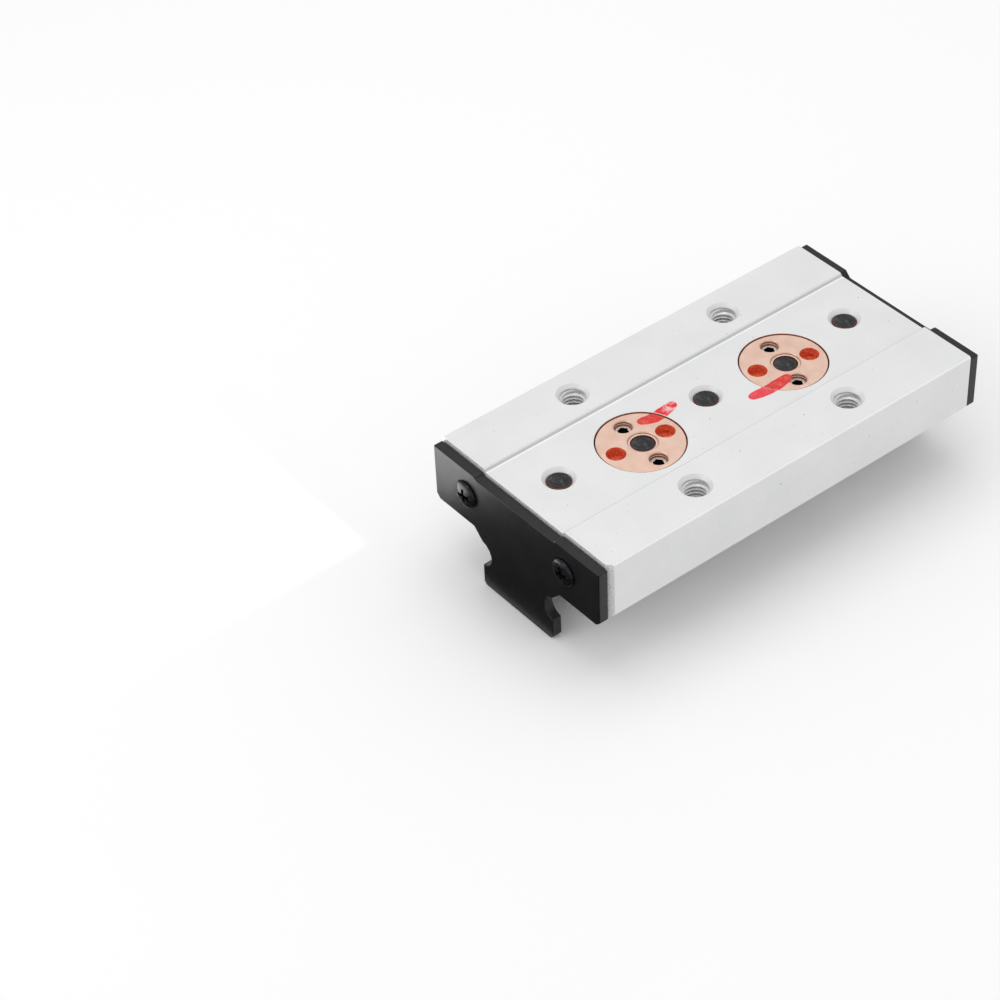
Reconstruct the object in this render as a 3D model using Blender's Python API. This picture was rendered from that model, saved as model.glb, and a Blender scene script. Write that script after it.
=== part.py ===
"""Roller carriage for an inner dual-shaft linear guide, with five grooved track rollers.

Metres, +Z up. X runs along the rail and Y across it. The origin is on the plane that the
end plates stand on, under the middle of the carriage. Three rollers turn on axle screws
fixed in the body and bear on the shaft at +Y. The two rollers between them hang from
eccentric bushings and bear on the shaft at -Y, so turning a bushing sets the preload.
"""

from math import acos, asin, cos, pi, radians, sin

import bmesh
import bpy
from mathutils import Matrix, Vector

MM = 0.001

# Heights, measured down from the recessed deck between the two mounting pads.
DECK_Z = 25.2 * MM
PAD_RISE = 0.6 * MM
BODY_BOTTOM = DECK_Z - 11.5 * MM
ROLLER_Z = DECK_Z - 17.6 * MM

# Body
BODY_LENGTH = 88.4 * MM
BODY_WIDTH = 47.0 * MM
DECK_HALF_WIDTH = 10.85 * MM
CORNER_CHAMFER = 1.1 * MM
FACE_GAP = 0.15 * MM

# Threaded mounting holes, M5
MOUNT_PITCH_X = 37.3 * MM
MOUNT_PITCH_Y = 34.1 * MM
MOUNT_BORE_RADIUS = 2.2 * MM
COUNTERSINK_RADIUS = 3.15 * MM

# Roller line
ROLLER_PITCH = 17.62 * MM
ROLLER_COUNT = 5
LINE_OFFSET = 1.0 * MM
SHAFT_RADIUS = 2.5 * MM

# Track roller
ROLLER_RADIUS = 8.5 * MM
GROOVE_RADIUS = 2.6 * MM
GROOVE_FLOOR = 6.8 * MM
OUTER_RING_WIDTH = 7.0 * MM
OUTER_RACE = 5.7 * MM
INNER_RING_WIDTH = 8.0 * MM
INNER_RACE = 3.4 * MM
BALL_PITCH_RADIUS = 4.55 * MM
BALL_RADIUS = 1.05 * MM
BALL_COUNT = 7
SEAL_OFFSET = 3.0 * MM
SEAL_THICKNESS = 0.5 * MM

# Axle screw, M5
AXLE_RADIUS = 2.5 * MM
AXLE_BORE_RADIUS = 2.6 * MM
AXLE_RECESS = 0.6 * MM
AXLE_HEAD_RADIUS = 4.3 * MM
AXLE_HEAD_HEIGHT = 2.1 * MM

# Eccentric bushing
FLANGE_RADIUS = 8.4 * MM
FLANGE_THICKNESS = 3.3 * MM
FLANGE_SEAT_RADIUS = 8.55 * MM
STEM_RADIUS = 5.0 * MM
STEM_SEAT_RADIUS = 5.1 * MM
ECCENTRICITY = 0.4 * MM
ECCENTRIC_DIRECTION = radians(-20)
SPANNER_CIRCLE = 5.5 * MM
SPANNER_HOLE_RADIUS = 1.87 * MM
SPANNER_HOLE_DEPTH = 1.9 * MM
LOCK_HOLE_RADIUS = 1.8 * MM
LOCK_SCREW_RADIUS = 1.7 * MM
LOCK_SCREW_RECESS = 1.15 * MM
BUSHING_TURN = (radians(-5), radians(-14.3))

# End plate, moulded plastic
PLATE_THICKNESS = 2.1 * MM
PLATE_HALF_WIDTH = 23.3 * MM
WING_TOP = DECK_Z - 0.15 * MM
LEFT_CENTRE_TOP = DECK_Z - 0.65 * MM
RIGHT_CENTRE_TOP = DECK_Z - 1.4 * MM
WING_BOTTOM = DECK_Z - 12.6 * MM
WING_CORNER = 1.0 * MM
TONGUE_HALF_WIDTH = 10.0 * MM
TONGUE_CORNER = 0.7 * MM
SHAFT_NOTCH_RADIUS = 2.8 * MM

# End plate screw, M3 with a cross-recessed pan head
PLATE_SCREW_Y = 13.8 * MM
PLATE_SCREW_Z = DECK_Z - 5.8 * MM
PLATE_SCREW_RADIUS = 1.5 * MM
PLATE_SCREW_LENGTH = 9.0 * MM
PAN_HEAD_RADIUS = 2.75 * MM
PAN_HEAD_HEIGHT = 1.2 * MM

BODY_END_X = BODY_LENGTH / 2
PLATE_INNER_X = BODY_END_X + FACE_GAP
PLATE_OUTER_X = PLATE_INNER_X + PLATE_THICKNESS
SHAFT_Y = LINE_OFFSET + GROOVE_FLOOR + SHAFT_RADIUS

ALUMINIUM = ("anodised_aluminium", (0.76, 0.77, 0.78), 0.42, 0.85)
BLACK_PLASTIC = ("black_plastic", (0.018, 0.019, 0.021), 0.55, 0.0)
BLACK_STEEL = ("black_screw_steel", (0.03, 0.032, 0.036), 0.35, 0.8)
COPPER = ("copper_bushing", (0.80, 0.53, 0.42), 0.35, 0.85)
BRIGHT_STEEL = ("lock_screw_steel", (0.62, 0.62, 0.61), 0.25, 1.0)
BEARING_STEEL = ("bearing_steel", (0.66, 0.66, 0.67), 0.18, 1.0)
CAGE_STEEL = ("cage_steel", (0.55, 0.54, 0.52), 0.35, 1.0)
SPACER_STEEL = ("spacer_steel", (0.58, 0.58, 0.58), 0.3, 1.0)
SEAL_RUBBER = ("seal_rubber", (0.02, 0.02, 0.02), 0.7, 0.0)


def clear_scene():
    for old in list(bpy.data.objects):
        bpy.data.objects.remove(old, do_unlink=True)


def material(finish):
    """The Principled material of one finish, made once."""
    name, colour, roughness, metallic = finish
    made = bpy.data.materials.get(name)
    if made:
        return made
    made = bpy.data.materials.new(name)
    made.use_nodes = True
    shader = made.node_tree.nodes["Principled BSDF"]
    shader.inputs["Base Color"].default_value = (*colour, 1.0)
    shader.inputs["Roughness"].default_value = roughness
    shader.inputs["Metallic"].default_value = metallic
    made.diffuse_color = (*colour, 1.0)
    return made


def add_object(name, bm, finish=None, parent=None, location=(0, 0, 0), turn=0.0):
    """Put a bmesh into the scene as one object; without a finish it is a hidden cutter."""
    bmesh.ops.recalc_face_normals(bm, faces=bm.faces)
    mesh = bpy.data.meshes.new(name)
    bm.to_mesh(mesh)
    bm.free()
    made = bpy.data.objects.new(name, mesh)
    bpy.context.scene.collection.objects.link(made)
    made.parent = parent
    made.location = location
    made.rotation_euler = (0, 0, turn)
    if finish:
        mesh.materials.append(material(finish))
        mesh.shade_smooth()
        mesh.set_sharp_from_angle(angle=radians(30))
    else:
        made.hide_render = True
        made.display_type = "WIRE"
    return made


def add_axis(name, location, parent=None):
    """An empty on a turning axis, for the pieces that sit around it."""
    made = bpy.data.objects.new(name, None)
    bpy.context.scene.collection.objects.link(made)
    made.parent = parent
    made.location = location
    return made


def cut(target, cutter, operation="DIFFERENCE"):
    step = target.modifiers.new(cutter.name, "BOOLEAN")
    step.operation = operation
    step.solver = "EXACT"
    step.object = cutter


def revolve(bm, profile, segments, centre=(0, 0, 0), along_x=False):
    """Turn a closed (radius, height) outline about Z, or about X when along_x is set."""
    ring = [bm.verts.new((radius, 0, height)) for radius, height in profile]
    edges = [bm.edges.new(pair) for pair in zip(ring, ring[1:] + ring[:1])]
    spun = bmesh.ops.spin(
        bm, geom=ring + edges, cent=(0, 0, 0), axis=(0, 0, 1),
        angle=2 * pi, steps=segments, use_merge=True,
    )
    verts = ring + [item for item in spun["geom_last"] if isinstance(item, bmesh.types.BMVert)]
    joined = set()
    frontier = [vert for vert in verts if vert.is_valid]
    while frontier:
        vert = frontier.pop()
        if vert in joined:
            continue
        joined.add(vert)
        frontier += [edge.other_vert(vert) for edge in vert.link_edges]
    place = Matrix.Translation(centre)
    if along_x:
        place = place @ Matrix.Rotation(pi / 2, 4, "Y")
    bmesh.ops.transform(bm, matrix=place, verts=list(joined))
    return bm


def weld(bm):
    """Close the poles of a turned solid and drop the edges left on its axis."""
    bmesh.ops.remove_doubles(bm, verts=bm.verts, dist=1e-7)
    bmesh.ops.dissolve_degenerate(bm, edges=bm.edges, dist=1e-7)
    loose = [edge for edge in bm.edges if not edge.link_faces]
    bmesh.ops.delete(bm, geom=loose, context="EDGES")
    return bm


def turned(name, profile, segments, finish=None, **place):
    bm = revolve(bmesh.new(), profile, segments)
    return add_object(name, weld(bm), finish, **place)


def prism(bm, outline, direction):
    """Extrude a flat outline of 3-D points along a direction."""
    face = bm.faces.new([bm.verts.new(point) for point in outline])
    grown = bmesh.ops.extrude_face_region(bm, geom=[face])
    moved = [item for item in grown["geom"] if isinstance(item, bmesh.types.BMVert)]
    bmesh.ops.translate(bm, verts=moved, vec=direction)
    return bm


def hexagon(across_flats, z, centre=(0, 0)):
    corner = across_flats / 2 / cos(pi / 6)
    return [
        (centre[0] + corner * cos(k * pi / 3), centre[1] + corner * sin(k * pi / 3), z)
        for k in range(6)
    ]


def roller_x(index):
    return (index - (ROLLER_COUNT - 1) / 2) * ROLLER_PITCH


def mirrored(points):
    """Close a half outline, given from top centre to bottom centre, with its mirror image."""
    return points + [(-y, z) for y, z in reversed(points)]


def drilled_hole(radius, mouth_radius, top, bottom):
    """The outline of a through hole with a 45 degree countersink at its top."""
    over = 0.5 * MM
    sink = mouth_radius - radius
    return [
        (0, top + over), (mouth_radius + over, top + over),
        (radius, top - sink), (radius, bottom - over), (0, bottom - over),
    ]


def make_body():
    """The aluminium block: two raised mounting pads along the sides of a recessed deck."""
    half = BODY_WIDTH / 2
    pad_z = DECK_Z + PAD_RISE
    section = mirrored([
        (DECK_HALF_WIDTH, DECK_Z), (DECK_HALF_WIDTH + PAD_RISE, pad_z),
        (half, pad_z), (half, BODY_BOTTOM),
    ])
    outline = [(-BODY_END_X, y, z) for y, z in section]
    bm = prism(bmesh.new(), outline, Vector((BODY_LENGTH, 0, 0)))
    near_left = [
        edge for edge in bm.edges
        if all(vert.co.x < 0 and vert.co.y < 0.1 * MM - half for vert in edge.verts)
    ]
    bmesh.ops.bevel(bm, geom=near_left, offset=CORNER_CHAMFER, segments=1, affect="EDGES")
    body = add_object("carriage_body", bm, ALUMINIUM)

    drills = bmesh.new()
    mount = drilled_hole(MOUNT_BORE_RADIUS, COUNTERSINK_RADIUS, pad_z, BODY_BOTTOM)
    for x in (-MOUNT_PITCH_X / 2, MOUNT_PITCH_X / 2):
        for y in (-MOUNT_PITCH_Y / 2, MOUNT_PITCH_Y / 2):
            revolve(drills, mount, 24, centre=(x, y, 0))
    axle = drilled_hole(AXLE_BORE_RADIUS, COUNTERSINK_RADIUS, DECK_Z, BODY_BOTTOM)
    for index in range(0, ROLLER_COUNT, 2):
        revolve(drills, axle, 24, centre=(roller_x(index), LINE_OFFSET, 0))
    floor = DECK_Z - 2 * FACE_GAP - FLANGE_THICKNESS
    seat = [
        (0, DECK_Z + 0.5 * MM), (FLANGE_SEAT_RADIUS, DECK_Z + 0.5 * MM),
        (FLANGE_SEAT_RADIUS, floor), (STEM_SEAT_RADIUS, floor),
        (STEM_SEAT_RADIUS, BODY_BOTTOM - 0.5 * MM), (0, BODY_BOTTOM - 0.5 * MM),
    ]
    for index in range(1, ROLLER_COUNT, 2):
        revolve(drills, seat, 48, centre=(roller_x(index), -LINE_OFFSET, 0))
    pilot_radius = PLATE_SCREW_RADIUS + 0.1 * MM
    pilot = [(0, -9 * MM), (pilot_radius, -9 * MM), (pilot_radius, 9 * MM), (0, 9 * MM)]
    for side in (-1, 1):
        for y in (-PLATE_SCREW_Y, PLATE_SCREW_Y):
            centre = (side * (BODY_END_X + 0.5 * MM), y, PLATE_SCREW_Z)
            revolve(drills, pilot, 16, centre=centre, along_x=True)
    cut(body, add_object("body_drills", weld(drills)))
    return body


def shaft_notch(steps=7):
    """The arc in the tongue's edge that clears the rail's shaft, from top to bottom."""
    half_angle = acos((SHAFT_Y - TONGUE_HALF_WIDTH) / SHAFT_NOTCH_RADIUS)
    return [
        (SHAFT_Y + SHAFT_NOTCH_RADIUS * cos(angle), ROLLER_Z + SHAFT_NOTCH_RADIUS * sin(angle))
        for angle in (pi - half_angle + 2 * half_angle * k / steps for k in range(steps + 1))
    ]


def make_end_plate(name, side, centre_top):
    """A thin black plate: wings over the rail's walls and a tongue down into its channel."""
    slope = WING_TOP - centre_top
    notch = shaft_notch()
    web = WING_BOTTOM - notch[0][1]
    outline = mirrored([
        (DECK_HALF_WIDTH, centre_top), (DECK_HALF_WIDTH + slope, WING_TOP),
        (PLATE_HALF_WIDTH, WING_TOP), (PLATE_HALF_WIDTH, WING_BOTTOM + WING_CORNER),
        (PLATE_HALF_WIDTH - WING_CORNER, WING_BOTTOM), (TONGUE_HALF_WIDTH + web, WING_BOTTOM),
        *notch, (TONGUE_HALF_WIDTH, TONGUE_CORNER), (TONGUE_HALF_WIDTH - TONGUE_CORNER, 0),
    ])
    points = [(side * PLATE_INNER_X, y, z) for y, z in outline]
    bm = prism(bmesh.new(), points, Vector((side * PLATE_THICKNESS, 0, 0)))
    plate = add_object(name, bm, BLACK_PLASTIC)
    holes = bmesh.new()
    radius = PLATE_SCREW_RADIUS + 0.15 * MM
    length = PLATE_THICKNESS
    outline = [(0, -length), (radius, -length), (radius, length), (0, length)]
    for y in (-PLATE_SCREW_Y, PLATE_SCREW_Y):
        centre = (side * (PLATE_INNER_X + PLATE_THICKNESS / 2), y, PLATE_SCREW_Z)
        revolve(holes, outline, 16, centre=centre, along_x=True)
    cut(plate, add_object(name + "_holes", weld(holes)))


def make_plate_screw(name, side, y):
    """A cross-recessed pan head screw whose axis is X."""
    crown = [
        (PAN_HEAD_RADIUS * cos(a), PAN_HEAD_HEIGHT * (0.35 + 0.65 * sin(a)))
        for a in (k * pi / 10 for k in range(5))
    ]
    profile = [(0, PAN_HEAD_HEIGHT), *reversed(crown), (PAN_HEAD_RADIUS, 0),
               (PLATE_SCREW_RADIUS, 0), (PLATE_SCREW_RADIUS, -PLATE_SCREW_LENGTH),
               (0, -PLATE_SCREW_LENGTH)]
    bm = revolve(bmesh.new(), profile, 20, along_x=True)
    weld(bm)
    turn = 0 if side > 0 else pi
    place = (side * (PLATE_OUTER_X + 0.1 * MM), y, PLATE_SCREW_Z)
    screw = add_object(name, bm, BLACK_STEEL, location=place, turn=turn)
    arm = 1.25 * MM
    slot = 0.3 * MM
    depth = 0.7 * MM
    ring = [(slot, slot), (slot, arm), (-slot, arm), (-slot, slot), (-arm, slot), (-arm, -slot),
            (-slot, -slot), (-slot, -arm), (slot, -arm), (slot, -slot), (arm, -slot), (arm, slot)]
    top = PAN_HEAD_HEIGHT + 0.2 * MM
    cross = prism(bmesh.new(), [(top, u, v) for u, v in ring], Vector((-depth - 0.2 * MM, 0, 0)))
    cut(screw, add_object(name + "_cross", cross, location=place, turn=turn))


def make_bushing(name, index, turn):
    """An eccentric bushing, flush in the deck, that carries one roller's axle."""
    top = -FACE_GAP
    edge = 0.2 * MM
    stem_end = BODY_BOTTOM - DECK_Z
    profile = [
        (0, top), (FLANGE_RADIUS - edge, top), (FLANGE_RADIUS, top - edge),
        (FLANGE_RADIUS, top - FLANGE_THICKNESS), (STEM_RADIUS, top - FLANGE_THICKNESS),
        (STEM_RADIUS, stem_end), (0, stem_end),
    ]
    place = (roller_x(index), -LINE_OFFSET, DECK_Z)
    bushing = turned(name, profile, 48, COPPER, location=place, turn=turn)
    drills = bmesh.new()
    offset = eccentric_offset()
    bore = drilled_hole(AXLE_BORE_RADIUS, AXLE_BORE_RADIUS + 0.2 * MM, top, stem_end)
    revolve(drills, bore, 24, centre=(offset[0], offset[1], 0))
    for half_turn in (0, pi):
        x = SPANNER_CIRCLE * cos(half_turn)
        spanner = [(0, 0.5 * MM), (SPANNER_HOLE_RADIUS, 0.5 * MM),
                   (SPANNER_HOLE_RADIUS, top - SPANNER_HOLE_DEPTH), (0, top - SPANNER_HOLE_DEPTH)]
        revolve(drills, spanner, 24, centre=(x, 0, 0))
        below = top - FLANGE_THICKNESS - 0.5 * MM
        lock = [(0, 0.5 * MM), (LOCK_HOLE_RADIUS, 0.5 * MM), (LOCK_HOLE_RADIUS, below), (0, below)]
        revolve(drills, lock, 20, centre=(0, x, 0))
    cut(bushing, add_object(name + "_drills", weld(drills), location=place, turn=turn))
    return bushing


def eccentric_offset():
    return (ECCENTRICITY * cos(ECCENTRIC_DIRECTION), ECCENTRICITY * sin(ECCENTRIC_DIRECTION))


def make_lock_screw(name, bushing, side):
    """A socket set screw threaded through the flange, locking the bushing's setting."""
    top = -FACE_GAP - LOCK_SCREW_RECESS
    bottom = -FACE_GAP - FLANGE_THICKNESS
    edge = 0.2 * MM
    profile = [(0, top), (LOCK_SCREW_RADIUS - edge, top), (LOCK_SCREW_RADIUS, top - edge),
               (LOCK_SCREW_RADIUS, bottom), (0, bottom)]
    place = (0, side * SPANNER_CIRCLE, 0)
    screw = turned(name, profile, 20, BRIGHT_STEEL, parent=bushing, location=place)
    socket = prism(bmesh.new(), hexagon(2.0 * MM, top + 0.3 * MM), Vector((0, 0, -1.6 * MM)))
    cut(screw, add_object(name + "_socket", socket, parent=bushing, location=place))


def make_outer_ring(name, axis):
    """The roller's outer ring, with the round groove that runs on the shaft."""
    half = OUTER_RING_WIDTH / 2
    edge = 0.3 * MM
    groove_centre = GROOVE_FLOOR + GROOVE_RADIUS
    lip = GROOVE_RADIUS ** 2 - (groove_centre - ROLLER_RADIUS) ** 2
    lip_angle = asin(lip ** 0.5 / GROOVE_RADIUS)
    steps = 6
    groove = [
        (groove_centre - GROOVE_RADIUS * cos(a), GROOVE_RADIUS * sin(a))
        for a in (lip_angle * (1 - 2 * k / steps) for k in range(steps + 1))
    ]
    profile = [(OUTER_RACE, half), (ROLLER_RADIUS - edge, half), (ROLLER_RADIUS, half - edge),
               *groove, (ROLLER_RADIUS, edge - half), (ROLLER_RADIUS - edge, -half),
               (OUTER_RACE, -half)]
    return turned(name, profile, 32, BEARING_STEEL, parent=axis)


def make_tube(name, axis, inner, outer, low, high, finish, segments=20):
    profile = [(inner, high), (outer, high), (outer, low), (inner, low)]
    return turned(name, profile, segments, finish, parent=axis)


def make_ball_cage(name, axis):
    """The ball row and its cage, as one closed body."""
    high = 0.55 * MM
    cage = make_tube(name, axis, BALL_PITCH_RADIUS - 0.35 * MM, BALL_PITCH_RADIUS + 0.35 * MM,
                     -high, high, CAGE_STEEL)
    balls = bmesh.new()
    for k in range(BALL_COUNT):
        angle = 2 * pi * k / BALL_COUNT
        centre = Vector((cos(angle), sin(angle), 0)) * BALL_PITCH_RADIUS
        bmesh.ops.create_icosphere(
            balls, subdivisions=1, radius=BALL_RADIUS, matrix=Matrix.Translation(centre)
        )
    cut(cage, add_object(name + "_balls", balls, parent=axis), "UNION")


def make_axle_screw(name, axis):
    """A socket screw put in from below; its threaded end shows in the deck."""
    end = DECK_Z - AXLE_RECESS - ROLLER_Z
    edge = 0.25 * MM
    seat = -INNER_RING_WIDTH / 2 - 0.1 * MM
    low = seat - AXLE_HEAD_HEIGHT
    profile = [
        (0, end), (AXLE_RADIUS - edge, end), (AXLE_RADIUS, end - edge), (AXLE_RADIUS, seat),
        (AXLE_HEAD_RADIUS, seat), (AXLE_HEAD_RADIUS, low + edge), (AXLE_HEAD_RADIUS - edge, low),
        (0, low),
    ]
    screw = turned(name, profile, 20, BLACK_STEEL, parent=axis)
    socket = prism(bmesh.new(), hexagon(3.0 * MM, low - 0.3 * MM), Vector((0, 0, 1.6 * MM)))
    cut(screw, add_object(name + "_socket", socket, parent=axis))


def make_roller(number, axis):
    """One track roller on its axle: two rings, balls and cage, two seals, spacer, screw."""
    name = f"roller_{number}"
    make_outer_ring(name + "_outer_ring", axis)
    half = INNER_RING_WIDTH / 2
    make_tube(name + "_inner_ring", axis, AXLE_BORE_RADIUS, INNER_RACE, -half, half, BEARING_STEEL)
    make_ball_cage(name + "_ball_cage", axis)
    for side, word in ((1, "top"), (-1, "bottom")):
        middle = side * SEAL_OFFSET
        make_tube(f"{name}_{word}_seal", axis, INNER_RACE + 0.1 * MM, OUTER_RACE - 0.1 * MM,
                  middle - SEAL_THICKNESS / 2, middle + SEAL_THICKNESS / 2, SEAL_RUBBER)
    under = BODY_BOTTOM - ROLLER_Z
    make_tube(name + "_spacer", axis, AXLE_BORE_RADIUS, 4.1 * MM,
              half + 0.1 * MM, under - 0.1 * MM, SPACER_STEEL)
    make_axle_screw(name + "_axle_screw", axis)


def make_rollers():
    """Fixed rollers at the odd places, eccentric ones between them."""
    for index in range(ROLLER_COUNT):
        number = index + 1
        if index % 2 == 0:
            place = (roller_x(index), LINE_OFFSET, ROLLER_Z)
            axis = add_axis(f"roller_{number}_axis", place)
        else:
            pair = index // 2
            bushing = make_bushing(f"eccentric_bushing_{pair + 1}", index, BUSHING_TURN[pair])
            for side in (1, -1):
                label = 2 * pair + (1 if side > 0 else 2)
                make_lock_screw(f"lock_screw_{label}", bushing, side)
            offset = eccentric_offset()
            place = (offset[0], offset[1], ROLLER_Z - DECK_Z)
            axis = add_axis(f"roller_{number}_axis", place, parent=bushing)
        make_roller(number, axis)


def make_end_plates():
    plates = ((-1, "left", LEFT_CENTRE_TOP), (1, "right", RIGHT_CENTRE_TOP))
    for side, word, centre_top in plates:
        make_end_plate(f"end_plate_{word}", side, centre_top)
        for y, place in ((-PLATE_SCREW_Y, "near"), (PLATE_SCREW_Y, "far")):
            make_plate_screw(f"plate_screw_{word}_{place}", side, y)


clear_scene()
make_body()
make_end_plates()
make_rollers()
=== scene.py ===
"""Looks of the roller carriage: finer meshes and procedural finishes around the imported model.

Everything is in the CAD frame, in metres, with +Z up and X along the rail. Places come from
the boxes of the CAD nodes. The sizes below follow the CAD or are details that it leaves out.
"""

from math import asin, cos, pi, radians, sin

import bmesh
import bpy
from mathutils import Matrix, Vector


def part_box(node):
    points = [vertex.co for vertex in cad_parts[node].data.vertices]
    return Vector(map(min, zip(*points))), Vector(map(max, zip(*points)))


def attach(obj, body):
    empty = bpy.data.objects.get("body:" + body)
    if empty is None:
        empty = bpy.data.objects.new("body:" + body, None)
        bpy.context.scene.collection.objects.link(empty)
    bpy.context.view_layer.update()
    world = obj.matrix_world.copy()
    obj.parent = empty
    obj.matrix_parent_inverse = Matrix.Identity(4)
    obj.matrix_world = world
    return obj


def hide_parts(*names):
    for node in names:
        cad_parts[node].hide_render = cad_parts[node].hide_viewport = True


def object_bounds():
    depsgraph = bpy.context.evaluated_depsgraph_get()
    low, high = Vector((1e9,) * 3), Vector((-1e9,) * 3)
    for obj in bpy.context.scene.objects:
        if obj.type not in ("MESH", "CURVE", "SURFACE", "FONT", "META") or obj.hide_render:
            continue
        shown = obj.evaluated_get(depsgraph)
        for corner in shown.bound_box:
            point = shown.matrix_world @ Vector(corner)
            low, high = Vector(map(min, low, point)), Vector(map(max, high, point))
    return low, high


MM = 0.001

# Camera, placed from the middle of the deck
CAMERA_OFFSET = Vector((-275.93, -302.13, 334.74)) * MM
CAMERA_AZIMUTH = radians(-36.863)
CAMERA_ELEVATION = radians(41.248)
CAMERA_ROLL = radians(-2.803)
CAMERA_LENS = 102.86

# Body
PAD_RISE = 0.6 * MM
DECK_HALF_WIDTH = 10.85 * MM
CORNER_CHAMFER = 1.1 * MM
EDGE_ROUND = 0.22 * MM
LONG_BEVEL = 0.32 * MM
# Width of the strip at the foot of each pad riser that takes the painted highlight
FOOT_HIGHLIGHT = 0.42 * MM
RISER_SHADE = 0.6
MOUNT_PITCH_X = 37.3 * MM
MOUNT_PITCH_Y = 34.1 * MM
THREAD_PITCH = 0.8 * MM
THREAD_OUTER = 2.5 * MM
THREAD_INNER = 2.1 * MM
COUNTERSINK_RADIUS = 3.15 * MM
AXLE_NECK_RADIUS = 2.3 * MM
AXLE_BORE_RADIUS = 2.37 * MM
RING_BORE_RADIUS = 2.6 * MM

# Eccentric bushing
SEAT_CLEARANCE = 0.15 * MM
STEM_RADIUS = 5.0 * MM
STEM_SEAT_RADIUS = 5.1 * MM
FLANGE_THICKNESS = 3.3 * MM
SPANNER_CIRCLE = 5.5 * MM
SPANNER_HOLE_RADIUS = 1.87 * MM
SPANNER_HOLE_DEPTH = 1.9 * MM
LOCK_HOLE_RADIUS = 1.75 * MM
LOCK_SOCKET = 1.95 * MM
AXLE_MOUTH_RADIUS = 3.0 * MM
AXLE_MOUTH_DEPTH = 0.2 * MM
AXLE_LEDGE_DEPTH = 0.38 * MM
BUSHING_TURN = {"eccentric_bushing_1": radians(-5), "eccentric_bushing_2": radians(-14.3)}

# End plate
PLATE_EDGE_ROUND = 0.25 * MM
SCREW_RECESS_RADIUS = 2.95 * MM
SCREW_RECESS_DEPTH = 0.35 * MM
SCREW_BORE_RADIUS = 1.6 * MM

# Pan head screw
PAN_HEAD_RADIUS = 2.75 * MM
PAN_HEAD_HEIGHT = 1.2 * MM
PAN_HEAD_CROWN = 0.7 * MM
PLATE_SCREW_RADIUS = 1.5 * MM
PLATE_SCREW_SINK = 0.25 * MM
CROSS_ARM = 1.75 * MM
CROSS_HALF_WIDTH = 0.42 * MM
CROSS_DEPTH = 1.0 * MM

# Track roller
ROLLER_RADIUS = 8.5 * MM
ROLLER_EDGE = 0.35 * MM
GROOVE_RADIUS = 2.6 * MM
GROOVE_FLOOR = 6.8 * MM
OUTER_RACE = 5.7 * MM
INNER_RACE = 3.4 * MM
SPACER_RADIUS = 4.1 * MM

# Axle screw
AXLE_SHANK_RADIUS = 2.45 * MM
AXLE_HEAD_RADIUS = 4.3 * MM
AXLE_HEAD_HEIGHT = 2.1 * MM
AXLE_SOCKET = 3.0 * MM

# Marker strokes on the deck: start, knee and end of each, from the middle of the deck
STROKE_WIDTH = 2.3 * MM
STROKE_THICKNESS = 0.015 * MM
STROKES = {
    "eccentric_bushing_1": ((-13.6, 3.3), (-10.2, 2.6), (-6.4, 3.2)),
    "eccentric_bushing_2": ((15.0, -4.7), (11.0, -5.2), (6.4, -4.9)),
}

FINE = 96
COARSE = 48


# ---------------------------------------------------------------- mesh helpers

def lathe(profile, segments, bm=None, matrix=Matrix()):
    """A closed solid turned about Z from a (radius, height) outline, as faces in a bmesh."""
    bm = bm or bmesh.new()
    rings = []
    for radius, height in profile:
        if radius < 1e-9:
            rings.append([bm.verts.new(matrix @ Vector((0, 0, height)))])
            continue
        ring = [
            bm.verts.new(matrix @ Vector((radius * cos(a), radius * sin(a), height)))
            for a in (2 * pi * k / segments for k in range(segments))
        ]
        rings.append(ring)
    for one, two in zip(rings, rings[1:] + rings[:1]):
        if len(one) == 1 and len(two) == 1:
            continue
        for k in range(segments):
            corners = [one[k % len(one)], one[(k + 1) % len(one)],
                       two[(k + 1) % len(two)], two[k % len(two)]]
            unique = list(dict.fromkeys(corners))
            bm.faces.new(unique)
    return bm


def prism(outline, direction, bm=None):
    """A solid swept in a straight line from a flat outline."""
    bm = bm or bmesh.new()
    face = bm.faces.new([bm.verts.new(point) for point in outline])
    grown = bmesh.ops.extrude_face_region(bm, geom=[face])
    moved = [item for item in grown["geom"] if isinstance(item, bmesh.types.BMVert)]
    bmesh.ops.translate(bm, verts=moved, vec=direction)
    return bm


def arc(centre, radius, start, end, steps):
    """Points on a circle between two angles, both ends included."""
    return [
        (centre[0] + radius * cos(start + (end - start) * k / steps),
         centre[1] + radius * sin(start + (end - start) * k / steps))
        for k in range(steps + 1)
    ]


def new_object(name, bm, location=(0, 0, 0), turn=0.0):
    bmesh.ops.recalc_face_normals(bm, faces=bm.faces)
    mesh = bpy.data.meshes.new(name)
    bm.to_mesh(mesh)
    bm.free()
    made = bpy.data.objects.new(name, mesh)
    bpy.context.scene.collection.objects.link(made)
    made.location = location
    made.rotation_euler = (0, 0, turn)
    return made


def applied(obj):
    """Replace an object's mesh by its modified mesh, and drop the modifiers."""
    bpy.context.view_layer.update()
    graph = bpy.context.evaluated_depsgraph_get()
    mesh = bpy.data.meshes.new_from_object(obj.evaluated_get(graph))
    obj.modifiers.clear()
    obj.data = mesh
    return obj


def bevelled(obj, width, angle=40, segments=2):
    step = obj.modifiers.new("edge_round", "BEVEL")
    step.width = width
    step.segments = segments
    step.limit_method = "ANGLE"
    step.angle_limit = radians(angle)
    return applied(obj)


def cut(obj, bm, keep_inside=False):
    """Cut a bmesh, given in the object's own axes, out of the object, or keep what it holds."""
    cutter = new_object("cutter", bm)
    cutter.matrix_world = obj.matrix_basis
    step = obj.modifiers.new("cut", "BOOLEAN")
    step.operation = "INTERSECT" if keep_inside else "DIFFERENCE"
    step.solver = "EXACT"
    step.object = cutter
    applied(obj)
    bpy.data.objects.remove(cutter)
    return obj


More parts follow.
